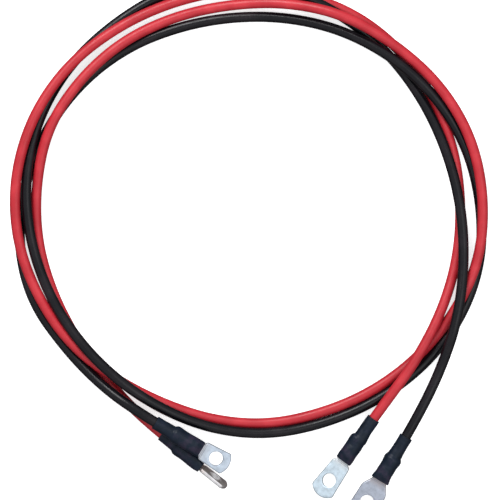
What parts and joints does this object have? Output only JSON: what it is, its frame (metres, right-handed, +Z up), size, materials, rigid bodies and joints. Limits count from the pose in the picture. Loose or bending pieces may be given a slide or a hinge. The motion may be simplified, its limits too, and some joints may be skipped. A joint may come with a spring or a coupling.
{
  "type": "battery cable pair",
  "caption": "Pair of flexible battery or inverter cables, one red and one black, with tinned ring lugs and black heat-shrink sleeves, lying in one shared loose coil.",
  "frame": {"origin": "middle of the pair's outline, on the surface it lies on", "axes": "+Z up from the surface, -Y towards the side of the coil where the lugs lie"},
  "size_m": [0.3594, 0.4104, 0.0262],
  "materials": {
    "red_insulation": "satin",
    "black_insulation": "satin",
    "heat_shrink": "matte",
    "tinned_copper": "tin plated, satin",
    "copper": "bright strands"
  },
  "bodies": {
    "root": {"red_jacket": "red_insulation", "red_conductor": "copper", "red_right_lug": "tinned_copper", "red_left_lug": "tinned_copper", "red_right_sleeve": "heat_shrink", "red_left_sleeve": "heat_shrink", "black_jacket": "black_insulation", "black_conductor": "copper", "black_right_lug": "tinned_copper", "black_left_lug": "tinned_copper", "black_right_sleeve": "heat_shrink", "black_left_sleeve": "heat_shrink"}
  },
  "joints": []
}
